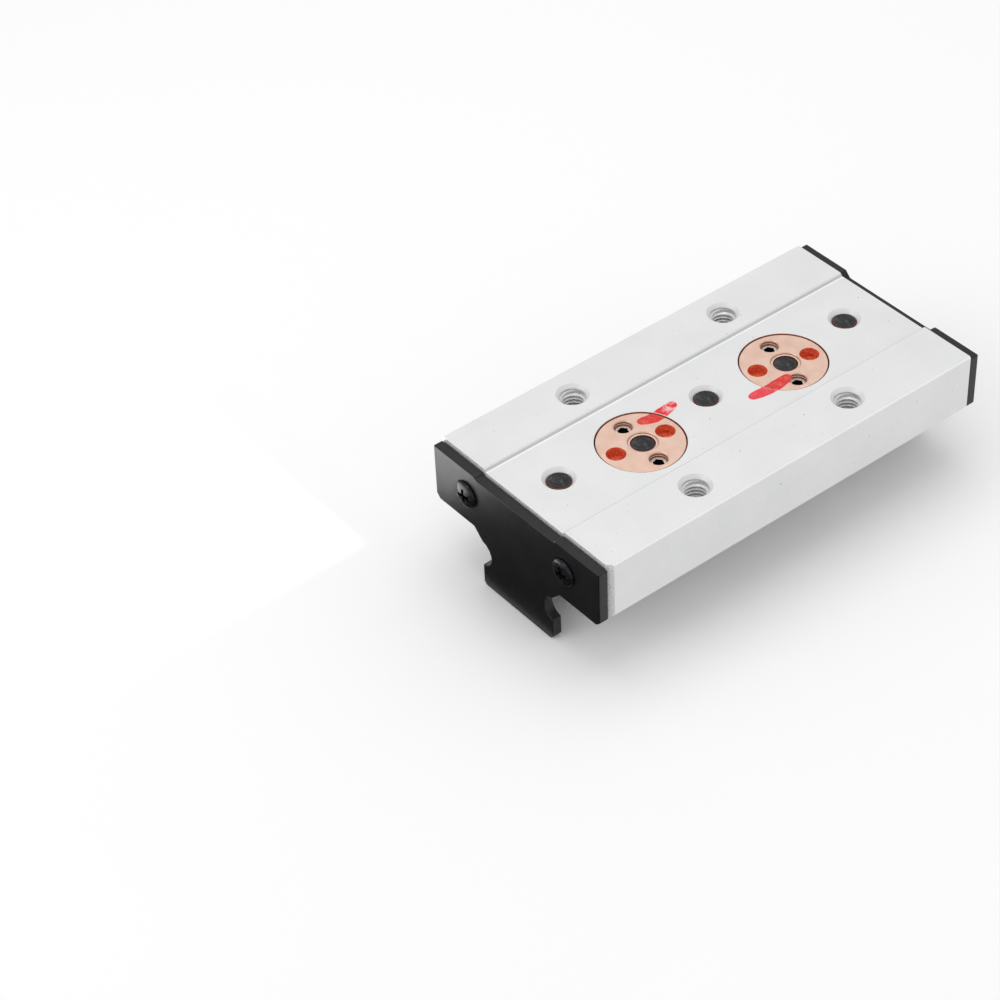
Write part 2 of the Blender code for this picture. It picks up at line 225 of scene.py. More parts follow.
def smooth(obj, angle=35, weighted=False):
    obj.data.shade_smooth()
    obj.data.set_sharp_from_angle(angle=radians(angle))
    if weighted:
        step = obj.modifiers.new("flat_normals", "WEIGHTED_NORMAL")
        step.keep_sharp = True
        applied(obj)
    return obj


def dress(obj, materials, body, slot, *nodes):
    """Give a piece its finish, its body and the CAD nodes that it stands for."""
    painted = [face.material_index for face in obj.data.polygons]
    obj.data.materials.clear()
    for item in materials:
        obj.data.materials.append(item)
    obj.data.polygons.foreach_set("material_index", painted)
    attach(obj, body)
    if nodes:
        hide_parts(*nodes)
    return obj


def middle(node):
    low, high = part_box(node)
    return (low + high) / 2


# ---------------------------------------------------------------- material helpers

class Finish:
    """A Principled material with short calls for the noise and bump that it is built from."""

    def __init__(self, name, colour, roughness, metallic=0.0):
        self.material = bpy.data.materials.new(name)
        self.material.use_nodes = True
        self.tree = self.material.node_tree
        self.shader = self.tree.nodes["Principled BSDF"]
        self.shader.inputs["Base Color"].default_value = (*colour, 1)
        self.shader.inputs["Roughness"].default_value = roughness
        self.shader.inputs["Metallic"].default_value = metallic
        self.coordinates = self.node("ShaderNodeTexCoord").outputs["Object"]

    def node(self, kind, **settings):
        made = self.tree.nodes.new(kind)
        for key, value in settings.items():
            setattr(made, key, value)
        return made

    def link(self, source, target):
        self.tree.links.new(source, target)

    def noise(self, size, detail=2.0, stretch=(1, 1, 1), rough=0.5):
        """Noise whose grains are about size across."""
        place = self.node("ShaderNodeMapping")
        place.inputs["Scale"].default_value = [s / size for s in stretch]
        self.link(self.coordinates, place.inputs["Vector"])
        texture = self.node("ShaderNodeTexNoise")
        texture.inputs["Scale"].default_value = 1.0
        texture.inputs["Detail"].default_value = detail
        texture.inputs["Roughness"].default_value = rough
        self.link(place.outputs["Vector"], texture.inputs["Vector"])
        return texture.outputs["Fac"]

    def rings(self, pitch, distortion=0.6, axis="Z"):
        """Fine turning marks about the piece's own axis."""
        texture = self.node("ShaderNodeTexWave", wave_type="RINGS", rings_direction=axis)
        texture.inputs["Scale"].default_value = 2 * pi / (20 * pitch)
        texture.inputs["Distortion"].default_value = distortion
        texture.inputs["Detail"].default_value = 2
        texture.inputs["Detail Scale"].default_value = 1.5
        self.link(self.coordinates, texture.inputs["Vector"])
        return texture.outputs["Fac"]

    def stretch(self, value, low, high, out_low, out_high):
        step = self.node("ShaderNodeMapRange")
        for key, number in zip(("From Min", "From Max", "To Min", "To Max"),
                               (low, high, out_low, out_high)):
            step.inputs[key].default_value = number
        self.link(value, step.inputs["Value"])
        return step.outputs["Result"]

    def blend(self, value, stops):
        """A colour ramp; stops are (place, colour)."""
        ramp = self.node("ShaderNodeValToRGB")
        elements = ramp.color_ramp.elements
        while len(elements) > 1:
            elements.remove(elements[-1])
        elements[0].position = stops[0][0]
        elements[0].color = (*stops[0][1], 1)
        for place, colour in stops[1:]:
            made = elements.new(place)
            made.color = (*colour, 1)
        self.link(value, ramp.inputs["Fac"])
        return ramp.outputs["Color"]

    def multiply(self, one, two):
        """Two colours multiplied together."""
        step = self.node("ShaderNodeMix", data_type="RGBA", blend_type="MULTIPLY")
        step.inputs[0].default_value = 1.0
        self.link(one, step.inputs[6])
        self.link(two, step.inputs[7])
        return step.outputs[2]

    def add(self, one, two, operation="ADD"):
        step = self.node("ShaderNodeMath", operation=operation)
        for socket, value in zip(step.inputs, (one, two)):
            if isinstance(value, (int, float)):
                socket.default_value = value
            else:
                self.link(value, socket)
        return step.outputs[0]

    def colour(self, source):
        self.link(source, self.shader.inputs["Base Color"])

    def roughness(self, source):
        self.link(source, self.shader.inputs["Roughness"])

    def bump(self, source, height, strength=1.0):
        step = self.node("ShaderNodeBump")
        step.inputs["Distance"].default_value = height
        step.inputs["Strength"].default_value = strength
        self.link(source, step.inputs["Height"])
        self.link(step.outputs["Normal"], self.shader.inputs["Normal"])


# light scales the colour: above 1 it makes the lighter copy used as painted highlight, below 1 the darker
# copy used as painted shade.
def blasted_aluminium(name="blasted_aluminium", light=1.0):
    """Fine blasted and anodised aluminium, with a few dark specks."""
    made = Finish(name, (0.80, 0.80, 0.80), 0.5, 0.35)
    grain = made.noise(0.16 * MM, detail=3, rough=0.7)
    cloud = made.noise(9 * MM, detail=2)
    tint = made.blend(cloud, [
        (0.3, tuple(light * v for v in (0.775, 0.777, 0.780))),
        (0.7, tuple(light * v for v in (0.810, 0.811, 0.813))),
    ])
    speck = made.blend(made.noise(0.6 * MM, detail=0), [(0.115, (0.4, 0.4, 0.4)), (0.15, (1, 1, 1))])
    sparkle = made.blend(made.noise(0.3 * MM, detail=2, rough=0.8),
                         [(0.3, (0.93, 0.93, 0.93)), (0.7, (1.0, 1.0, 1.0))])
    made.colour(made.multiply(made.multiply(tint, speck), sparkle))
    made.roughness(made.stretch(grain, 0.3, 0.7, 0.42, 0.58))
    made.bump(grain, 0.02 * MM, 0.7)
    return made.material


def milled_aluminium():
    """The saw-cut and milled ends, brighter and pitted."""
    made = Finish("milled_aluminium", (0.80, 0.80, 0.79), 0.4, 0.3)
    pits = made.noise(0.35 * MM, detail=2, rough=0.6)
    made.colour(made.blend(pits, [(0.31, (0.33, 0.32, 0.31)), (0.39, (0.80, 0.80, 0.79)),
                                  (0.6, (0.90, 0.90, 0.89))]))
    made.roughness(made.stretch(pits, 0.3, 0.7, 0.55, 0.32))
    made.bump(pits, 0.03 * MM, 0.6)
    return made.material


def bore_aluminium():
    """Bright cut metal inside the threaded holes."""
    made = Finish("bore_aluminium", (0.76, 0.76, 0.765), 0.34, 0.5)
    marks = made.noise(0.3 * MM, detail=2, stretch=(0.3, 0.3, 2))
    made.roughness(made.stretch(marks, 0.3, 0.7, 0.2, 0.4))
    made.bump(marks, 0.01 * MM, 0.4)
    return made.material


def turned_copper():
    """Pale pink copper with fine turning marks."""
    made = Finish("turned_copper", (0.83, 0.58, 0.47), 0.36, 0.55)
    marks = made.rings(0.12 * MM, distortion=0.4)
    cloud = made.noise(3.0 * MM, detail=4)
    grain = made.noise(0.2 * MM, detail=2)
    tint = made.blend(cloud, [(0.3, (0.75, 0.49, 0.385)), (0.7, (0.85, 0.61, 0.50))])
    fleck = made.blend(made.noise(0.5 * MM, detail=2), [(0.22, (0.45, 0.30, 0.22)), (0.28, (1, 1, 1))])
    made.colour(made.multiply(tint, fleck))
    made.roughness(made.stretch(grain, 0.3, 0.7, 0.3, 0.44))
    made.bump(made.add(marks, grain), 0.004 * MM, 0.5)
    return made.material


def red_bottom():
    """The bottoms of the spanner holes: bare copper, deep red with round tool marks."""
    made = Finish("red_copper", (0.62, 0.05, 0.015), 0.38, 0.2)
    marks = made.noise(0.6 * MM, detail=3)
    made.colour(made.blend(marks, [(0.3, (0.60, 0.090, 0.038)), (0.5, (0.78, 0.145, 0.062)),
                                   (0.72, (0.90, 0.28, 0.14))]))
    made.bump(marks, 0.03 * MM, 0.5)
    return made.material


def gap_shade_finish(name, dark, pale):
    """Painted shade: the dark brown that stands for the shade in the gaps and deep walls round a bushing,
    its seat and the axle ends.
    """
    made = Finish(name, dark, 0.5, 0.3)
    marks = made.noise(0.4 * MM, detail=2)
    made.colour(made.blend(marks, [(0.35, dark), (0.65, pale)]))
    return made.material


def threaded_copper():
    """The threaded walls of the lock screws' holes: painted highlight on pale crests and painted shade in
    dark red roots.
    """
    made = Finish("threaded_copper", (0.55, 0.28, 0.20), 0.35, 0.4)
    texture = made.node("ShaderNodeTexWave", wave_type="BANDS", bands_direction="Z")
    texture.inputs["Scale"].default_value = 2 * pi / (20 * 0.55 * MM)
    texture.inputs["Distortion"].default_value = 0.3
    made.link(made.coordinates, texture.inputs["Vector"])
    bands = texture.outputs["Fac"]
    # Painted light and shade along the thread: pale lit crests, dark red shaded roots.
    made.colour(made.blend(bands, [(0.25, (0.24, 0.045, 0.020)), (0.6, (0.80, 0.55, 0.42))]))
    made.bump(bands, 0.1 * MM, 0.6)
    return made.material


def black_oxide(name="black_oxide", light=1.0, rough=(0.3, 0.5)):
    made = Finish(name, (0.03, 0.031, 0.036), 0.4, 0.6)
    marks = made.noise(0.7 * MM, detail=4, rough=0.6)
    dark = tuple(light * v for v in (0.008, 0.0085, 0.010))
    pale = tuple(light * v for v in (0.032, 0.033, 0.038))
    made.colour(made.blend(marks, [(0.35, dark), (0.68, pale)]))
    made.roughness(made.stretch(marks, 0.3, 0.7, *rough))
    made.bump(marks, 0.02 * MM, 0.35)
    return made.material


def scratched_axle():
    """The axle's blackened end, scuffed in arcs by the spanner and the turning tool."""
    made = Finish("axle_end_oxide", (0.04, 0.041, 0.044), 0.36, 0.55)
    arcs = made.rings(0.7 * MM, distortion=14)
    scuff = made.noise(0.8 * MM, detail=5, stretch=(1.2, 0.35, 1), rough=0.75)
    marks = made.add(made.add(arcs, 0.1, "MULTIPLY"), made.add(scuff, 0.9, "MULTIPLY"))
    made.colour(made.blend(marks, [(0.36, (0.010, 0.0105, 0.012)), (0.52, (0.026, 0.027, 0.030)),
                                   (0.66, (0.10, 0.10, 0.105))]))
    made.roughness(made.stretch(scuff, 0.3, 0.7, 0.46, 0.26))
    made.bump(marks, 0.03 * MM, 0.5)
    return made.material


def textured_black():
    """Moulded black plastic with a fine leathery grain."""
    made = Finish("textured_black_plastic", (0.012, 0.0125, 0.014), 0.38)
    made.shader.inputs["Specular IOR Level"].default_value = 0.36
    grain = made.noise(0.38 * MM, detail=4, rough=0.7)
    patches = made.noise(4 * MM, detail=2)
    made.colour(made.blend(patches, [(0.3, (0.0050, 0.0052, 0.0060)), (0.7, (0.0085, 0.0088, 0.0100))]))
    made.roughness(made.stretch(grain, 0.3, 0.7, 0.28, 0.44))
    made.bump(grain, 0.05 * MM, 0.7)
    return made.material


def polished_steel():
    made = Finish("polished_steel", (0.64, 0.64, 0.65), 0.16, 1.0)
    marks = made.noise(0.25 * MM, detail=2, stretch=(1, 1, 0.15))
    made.roughness(made.stretch(marks, 0.3, 0.7, 0.1, 0.24))
    made.bump(made.rings(0.2 * MM), 0.0015 * MM, 0.4)
    return made.material


def bright_steel():
    made = Finish("bright_steel", (0.88, 0.86, 0.83), 0.24, 0.6)
    marks = made.noise(0.4 * MM, detail=3)
    made.roughness(made.stretch(marks, 0.3, 0.7, 0.15, 0.34))
    made.bump(marks, 0.006 * MM, 0.5)
    return made.material


def turned_steel():
    made = Finish("turned_steel", (0.52, 0.52, 0.53), 0.32, 1.0)
    grain = made.noise(0.3 * MM, detail=2)
    made.roughness(made.stretch(grain, 0.3, 0.7, 0.25, 0.42))
    made.bump(made.rings(0.15 * MM), 0.003 * MM, 0.5)
    return made.material


def seal_rubber():
    made = Finish("seal_rubber", (0.012, 0.012, 0.013), 0.6)
    grain = made.noise(0.12 * MM, detail=2)
    made.roughness(made.stretch(grain, 0.3, 0.7, 0.5, 0.75))
    made.bump(grain, 0.006 * MM, 0.5)
    return made.material


def marker_ink(name, solid, thin, pale_ring=0.0):
    """Red marker, streaky where it is thin; pale_ring is how bare the ink is round its end blot."""
    made = Finish(name, solid, 0.4)
    made.shader.inputs["Specular IOR Level"].default_value = 0.25
    patch = made.noise(1.3 * MM, detail=3, rough=0.6)
    span = made.node("ShaderNodeVectorMath", operation="LENGTH")
    made.link(made.coordinates, span.inputs[0])
    from_blot = span.outputs["Value"]
    inner = made.stretch(from_blot, 0.8 * MM, 1.1 * MM, 0, pale_ring)
    outer = made.stretch(from_blot, 1.3 * MM, 2.0 * MM, 0, pale_ring)
    cover = made.add(patch, made.add(inner, outer, "SUBTRACT"), "SUBTRACT")
    middle_red = tuple((s + t) / 2 for s, t in zip(solid, thin))
    made.colour(made.blend(cover, [(0.30, thin), (0.42, middle_red), (0.52, solid)]))
    made.roughness(made.stretch(patch, 0.3, 0.7, 0.35, 0.5))
    made.bump(made.noise(0.2 * MM), 0.004 * MM, 0.5)
    return made.material


# ---------------------------------------------------------------- frame

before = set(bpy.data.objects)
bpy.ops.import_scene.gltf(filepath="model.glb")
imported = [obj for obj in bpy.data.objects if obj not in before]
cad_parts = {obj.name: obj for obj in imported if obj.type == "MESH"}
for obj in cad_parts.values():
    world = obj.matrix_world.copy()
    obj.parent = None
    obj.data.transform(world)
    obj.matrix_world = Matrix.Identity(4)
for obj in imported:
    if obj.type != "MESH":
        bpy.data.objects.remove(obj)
cad_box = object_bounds()

BODY_LOW, BODY_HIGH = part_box("carriage_body")
DECK_Z = BODY_HIGH.z - PAD_RISE
DECK = Vector((0, 0, DECK_Z))
FIXED = (1, 3, 5)
ECCENTRIC = {2: "eccentric_1", 4: "eccentric_2"}

ALUMINIUM = blasted_aluminium()
# Lighter copy of the same aluminium: painted highlight on the long edge bevels and at the foot of each pad
# riser.
PAINTED_EDGE_HIGHLIGHT = blasted_aluminium("painted_highlight_edges", 1.17)
# Darker copy of the same aluminium: painted shade on the pad risers.
PAINTED_RISER_SHADE = blasted_aluminium("painted_shade_riser", 0.74)
MILLED = milled_aluminium()
BORE = bore_aluminium()
COPPER = turned_copper()
RED_COPPER = red_bottom()
# Painted shade in the bushing's axle mouth, on its deep faces and on the axle ends' chamfers.
BUSHING_GAP_SHADE = gap_shade_finish("painted_shade_copper", (0.10, 0.022, 0.010), (0.26, 0.070, 0.034))
# Brown painted into the aluminium seat walls and axle bores: painted shade in the gaps round the bushings
# and axles.
SEAT_GAP_SHADE = gap_shade_finish("painted_shade_seat", (0.34, 0.08, 0.04), (0.55, 0.17, 0.09))
THREADED_COPPER = threaded_copper()
BLACK_OXIDE = black_oxide()
BLACK_HEAD = black_oxide("black_screw_head", 0.8, (0.18, 0.34))
BLACK_AXLE = scratched_axle()
BLACK_PLASTIC = textured_black()
POLISHED = polished_steel()
BRIGHT = bright_steel()
TURNED = turned_steel()
RUBBER = seal_rubber()


# ---------------------------------------------------------------- carriage body

def body_section():
    """Half of the body's cross-section, from the middle of the deck down to the underside."""
    edge = EDGE_ROUND
    half = BODY_HIGH.y
    top = BODY_HIGH.z
    foot = DECK_HALF_WIDTH
    return [
        (foot - FOOT_HIGHLIGHT, DECK_Z), (foot, DECK_Z),
        (foot + RISER_SHADE * PAD_RISE, DECK_Z + RISER_SHADE * PAD_RISE),
        (foot + PAD_RISE, top - 0.1 * edge), (foot + PAD_RISE + 0.3 * edge, top),
        (half - LONG_BEVEL, top), (half, top - LONG_BEVEL),
        *arc((half - edge, BODY_LOW.z + edge), edge, 0, -pi / 2, 3),
    ]


def mount_places():
    return [
        (x, y)
        for x in (-MOUNT_PITCH_X / 2, MOUNT_PITCH_X / 2)
        for y in (-MOUNT_PITCH_Y / 2, MOUNT_PITCH_Y / 2)
    ]


def hole(radius, mouth, top, bottom, rim=0.06 * MM):
    """A through hole's cutter outline, with a countersink and a softened rim."""
    over = 1 * MM
    sink = mouth - radius
    return [
        (0, top + over), (mouth + rim, top + over), (mouth + rim, top), (mouth, top - rim),
        (radius + rim, top - sink), (radius, top - sink - 2 * rim),
        (radius, bottom - over), (0, bottom - over),
    ]


def make_body():
    half = body_section()
    section = half + [(-y, z) for y, z in reversed(half)]
    outline = [(BODY_LOW.x, y, z) for y, z in section]
    body = new_object("body_block", prism(outline, Vector((BODY_HIGH.x - BODY_LOW.x, 0, 0))))

    corner = Vector((BODY_LOW.x, BODY_LOW.y, 0))
    reach = CORNER_CHAMFER
    over = 2 * MM
    wedge = [corner + Vector(point) for point in (
        (-over, -over, 0), (reach + over, -over, 0), (reach, 0, 0), (0, reach, 0), (-over, reach + over, 0),
    )]
    base = [point + Vector((0, 0, BODY_LOW.z - over)) for point in wedge]
    cut(body, prism(base, Vector((0, 0, 20 * MM))))
    ends = body.modifiers.new("end_round", "BEVEL")
    ends.width = 0.12 * MM
    ends.segments = 2
    ends.limit_method = "ANGLE"
    ends.angle_limit = radians(50)
    applied(body)

    drills = bmesh.new()
    for x, y in mount_places():
        place = Matrix.Translation((x, y, 0))
        lathe(hole(THREAD_OUTER, COUNTERSINK_RADIUS, BODY_HIGH.z, BODY_LOW.z), COARSE, drills, place)
    for number in FIXED:
        centre = middle(f"roller_{number}_inner_ring")
        place = Matrix.Translation((centre.x, centre.y, 0))
        lathe(hole(AXLE_BORE_RADIUS, COUNTERSINK_RADIUS, DECK_Z, BODY_LOW.z), COARSE, drills, place)
    for name in BUSHING_TURN:
        low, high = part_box(name)
        radius = (high.x - low.x) / 2 + SEAT_CLEARANCE
        floor = DECK_Z - FLANGE_THICKNESS - 2 * SEAT_CLEARANCE
        rim = 0.06 * MM
        seat = [(0, DECK_Z + 1 * MM), (radius + rim, DECK_Z + 1 * MM), (radius + rim, DECK_Z),
                (radius, DECK_Z - rim), (radius, floor), (STEM_SEAT_RADIUS, floor),
                (STEM_SEAT_RADIUS, BODY_LOW.z - 1 * MM), (0, BODY_LOW.z - 1 * MM)]
        centre = (low + high) / 2
        lathe(seat, FINE, drills, Matrix.Translation((centre.x, centre.y, 0)))
    cut(body, drills)
    paint_body(body)
    smooth(body, 32, weighted=True)
    finishes = (ALUMINIUM, MILLED, BORE, SEAT_GAP_SHADE, PAINTED_EDGE_HIGHLIGHT, PAINTED_RISER_SHADE)
    dress(body, finishes, "carriage", "anodised_aluminium", "carriage_body")


def paint_body(body):
    """Milled ends, cut metal in the threads, painted brown shade in the seats and by the axles, painted
    highlight along the edge bevels and the pad feet, and painted shade on the pad risers.
    """
    seats = [middle(name) for name in BUSHING_TURN]
    axles = [middle(f"roller_{number}_inner_ring") for number in FIXED]
    half = BODY_HIGH.y
    for face in body.data.polygons:
        centre = face.center
        normal = face.normal
        deep = BODY_LOW.z + 0.1 * MM < centre.z < DECK_Z - 0.05 * MM and abs(centre.y) < half - MM
        face.material_index = 0
        if abs(normal.x) > 0.6 and abs(centre.x) > BODY_HIGH.x - 2 * CORNER_CHAMFER:
            face.material_index = 1
        # Painted shade: the walls of the seats and of the axle bores take the brown colour of the shade in
        # the gaps.
        elif deep and any((centre.xy - seat.xy).length < 8.7 * MM for seat in seats):
            face.material_index = 3
        elif deep and any((centre.xy - axle.xy).length < AXLE_BORE_RADIUS + 0.05 * MM for axle in axles):
            face.material_index = 3
        elif deep and abs(centre.y) > DECK_HALF_WIDTH and centre.z < BODY_HIGH.z - MM:
            face.material_index = 2
        # Painted highlight: the long edge bevels and the strip at the foot of each pad riser take the
        # lighter copy.
        elif abs(centre.y) > half - LONG_BEVEL and 0.5 < normal.z < 0.9:
            face.material_index = 4
        elif normal.z > 0.9 and DECK_HALF_WIDTH - FOOT_HIGHLIGHT < centre.y < DECK_HALF_WIDTH:
            face.material_index = 4
        # Painted shade: the lower part of each pad riser takes the darker copy.
        elif 0 < abs(centre.y) - DECK_HALF_WIDTH < RISER_SHADE * PAD_RISE and normal.z < 0.9:
            face.material_index = 5


def make_thread(name, x, y):
    """The thread's ridge, one closed coil inside the bore."""
    top = BODY_HIGH.z - (COUNTERSINK_RADIUS - THREAD_OUTER) - 0.1 * MM
    turns = int((top - BODY_LOW.z) / THREAD_PITCH) - 1
    steps = 40
    root = THREAD_OUTER + 0.03 * MM
    crest = THREAD_INNER
    outline = ((root, 0.44), (crest, 0.08), (crest, -0.08), (root, -0.44))
    bm = bmesh.new()
    rings = []
    for k in range(turns * steps + 1):
        angle = 2 * pi * k / steps
        height = -THREAD_PITCH * (k / steps + 0.6)
        fade = min(1, k / (0.4 * steps), (turns * steps - k) / (0.4 * steps))
        ring = []
        for radius, rise in outline:
            grown = root + (radius - root) * max(fade, 0.02)
            place = (grown * cos(angle), grown * sin(angle), height + rise * THREAD_PITCH)
            ring.append(bm.verts.new(place))
        rings.append(ring)
    count = len(outline)
    for one, two in zip(rings, rings[1:]):
        for k in range(count):
            bm.faces.new((one[k], one[(k + 1) % count], two[(k + 1) % count], two[k]))
    bm.faces.new(rings[0])
    bm.faces.new(rings[-1])
    thread = new_object(name, bm, location=(x, y, top))
    smooth(thread, 40)
    dress(thread, (BORE,), "carriage", "anodised_aluminium")


# ---------------------------------------------------------------- eccentric bushings

def make_bushing(name, body, axle_node, lock_nodes):
    low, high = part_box(name)
    centre = (low + high) / 2
    radius = (high.x - low.x) / 2 - 0.06 * MM
    top = high.z
    edge = 0.2 * MM
    stem_end = low.z - top
    profile = [(0, 0), (radius - edge, 0), *arc((radius - edge, -edge), edge, pi / 2, 0, 3)[1:],
               (radius, -FLANGE_THICKNESS), (STEM_RADIUS, -FLANGE_THICKNESS), (STEM_RADIUS, stem_end),
               (0, stem_end)]
    turn = BUSHING_TURN[name]
    bushing = new_object(name + "_turned", lathe(profile, FINE),
                         location=(centre.x, centre.y, top), turn=turn)
    back = Matrix.Rotation(-turn, 4, "Z")
    axle = back @ (middle(axle_node) - centre)
    drills = bmesh.new()
    mouth = [(0, 1 * MM), (AXLE_MOUTH_RADIUS, 1 * MM), (AXLE_MOUTH_RADIUS, 0),
             (AXLE_MOUTH_RADIUS - AXLE_MOUTH_DEPTH, -AXLE_MOUTH_DEPTH),
             (AXLE_MOUTH_RADIUS - AXLE_MOUTH_DEPTH - 0.04 * MM, -AXLE_LEDGE_DEPTH + 0.04 * MM),
             (AXLE_BORE_RADIUS, -AXLE_LEDGE_DEPTH),
             (AXLE_BORE_RADIUS, stem_end - MM), (0, stem_end - MM)]
    lathe(mouth, COARSE, drills, Matrix.Translation((axle.x, axle.y, 0)))
    rim = 0.05 * MM
    depth = SPANNER_HOLE_DEPTH
    spanner = [(0, 1 * MM), (SPANNER_HOLE_RADIUS + rim, 1 * MM), (SPANNER_HOLE_RADIUS + rim, 0),
               (SPANNER_HOLE_RADIUS, -rim), (SPANNER_HOLE_RADIUS, -depth), (0, -depth - 0.12 * MM)]
    for side in (-1, 1):
        lathe(spanner, COARSE, drills, Matrix.Translation((side * SPANNER_CIRCLE, 0, 0)))
    bevel = 0.2 * MM
    lock = [(0, 1 * MM), (LOCK_HOLE_RADIUS + bevel, 1 * MM), (LOCK_HOLE_RADIUS + bevel, 0),
            (LOCK_HOLE_RADIUS, -bevel), (LOCK_HOLE_RADIUS, -FLANGE_THICKNESS - MM),
            (0, -FLANGE_THICKNESS - MM)]
    for node in lock_nodes:
        place = back @ (middle(node) - centre)
        lathe(lock, COARSE, drills, Matrix.Translation((place.x, place.y, 0)))
    cut(bushing, drills)
    lock_places = [(back @ (middle(node) - centre)).xy for node in lock_nodes]
    for face in bushing.data.polygons:
        face.material_index = 0
        depth = -face.center.z
        steep = abs(face.normal.z) < 0.3
        mirror = Vector((abs(face.center.x), face.center.y))
        from_lock = min((face.center.xy - place).length for place in lock_places)
        from_axle = (face.center.xy - axle.xy).length
        from_spanner = (mirror - Vector((SPANNER_CIRCLE, 0))).length
        if from_spanner < SPANNER_HOLE_RADIUS + 0.01 * MM and depth > 0.04 * MM:
            face.material_index = 1
        elif from_lock < LOCK_HOLE_RADIUS + 0.05 * MM and steep:
            face.material_index = 3
        # Painted shade: the axle mouth's walls and the deep faces take the dark brown copper.
        elif from_axle < AXLE_MOUTH_RADIUS and steep:
            face.material_index = 2
        elif depth > 0.5 * MM:
            face.material_index = 2
    smooth(bushing, 30, weighted=True)
    finishes = (COPPER, RED_COPPER, BUSHING_GAP_SHADE, THREADED_COPPER)
    dress(bushing, finishes, body, "copper_bushing", name)


def hexagon(across_flats, height, turn=0.0):
    corner = across_flats / 2 / cos(pi / 6)
    return [
        (corner * cos(turn + k * pi / 3), corner * sin(turn + k * pi / 3), height)
        for k in range(6)
    ]


def make_lock_screw(node, body, turn):
    """A socket set screw with a rounded crown and a hexagon socket, painted black inside as shade."""
    low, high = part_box(node)
    centre = (low + high) / 2
    radius = (high.x - low.x) / 2
    bottom = low.z - high.z
    profile = [(0, 0), (radius - 0.25 * MM, 0), *arc((radius - 0.25 * MM, -0.25 * MM), 0.25 * MM,
               pi / 2, 0, 4)[1:], (radius, bottom), (0, bottom)]
    screw = new_object(node + "_turned", lathe(profile, COARSE),
                       location=(centre.x, centre.y, high.z), turn=turn)
    socket = prism(hexagon(LOCK_SOCKET, 0.3 * MM, 0.3), Vector((0, 0, -1.6 * MM)))
    cut(screw, socket)
    for face in screw.data.polygons:
        # Painted shade: the socket's walls and floor take black oxide beside the bright crown.
        inside = face.center.xy.length < 1.1 * MM and face.center.z < -0.15 * MM
        face.material_index = 1 if inside else 0
    smooth(screw, 35, weighted=True)
    dress(screw, (BRIGHT, BLACK_OXIDE), body, "lock_screw_steel", node)


# ---------------------------------------------------------------- end plates

def plate_outline(node):
    """The plate's own outline from the CAD node's outer face, in order round the edge."""
    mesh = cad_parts[node].data
    low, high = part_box(node)
    outer_x = low.x if middle(node).x < 0 else high.x
    bm = bmesh.new()
    bm.from_mesh(mesh)
    bmesh.ops.remove_doubles(bm, verts=bm.verts, dist=1e-6)
    bmesh.ops.dissolve_limit(bm, angle_limit=radians(1), verts=bm.verts, edges=bm.edges)
    rims = {}
    for face in bm.faces:
        if abs(face.calc_center_median().x - outer_x) < 1e-5:
            for edge in face.edges:
                others = [f for f in edge.link_faces if abs(f.calc_center_median().x - outer_x) > 1e-5]
                if others:
                    for one, two in (edge.verts, reversed(edge.verts)):
                        rims.setdefault(one, []).append(two)
    start = max(rims, key=lambda vert: vert.co.y)
    loop = [start]
    previous = None
    here = start
    while True:
        step = [vert for vert in rims[here] if vert is not previous][0]
        previous, here = here, step
        if here is start:
            break
        loop.append(here)
    points = [(vert.co.y, vert.co.z) for vert in loop]
    bm.free()
    return points


def make_end_plate(node, screw_nodes):
    low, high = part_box(node)
    side = 1 if middle(node).x > 0 else -1
    inner = low.x if side > 0 else high.x
    outline = [(inner, y, z) for y, z in plate_outline(node)]
    plate = new_object(node + "_moulded", prism(outline, Vector((side * (high.x - low.x), 0, 0))))
    bevelled(plate, PLATE_EDGE_ROUND, angle=25, segments=3)
    outer = high.x if side > 0 else low.x
    through = [(0, -4 * MM), (SCREW_BORE_RADIUS, -4 * MM), (SCREW_BORE_RADIUS, -SCREW_RECESS_DEPTH),
               (SCREW_RECESS_RADIUS, -SCREW_RECESS_DEPTH), (SCREW_RECESS_RADIUS, MM), (0, MM)]
    drills = bmesh.new()
    for screw in screw_nodes:
        centre = middle(screw)
        place = Matrix.Translation((outer, centre.y, centre.z)) @ Matrix.Rotation(side * pi / 2, 4, "Y")
        lathe(through, COARSE, drills, place)
    cut(plate, drills)
    smooth(plate, 35, weighted=True)
    dress(plate, (BLACK_PLASTIC,), "carriage", "black_plastic", node)


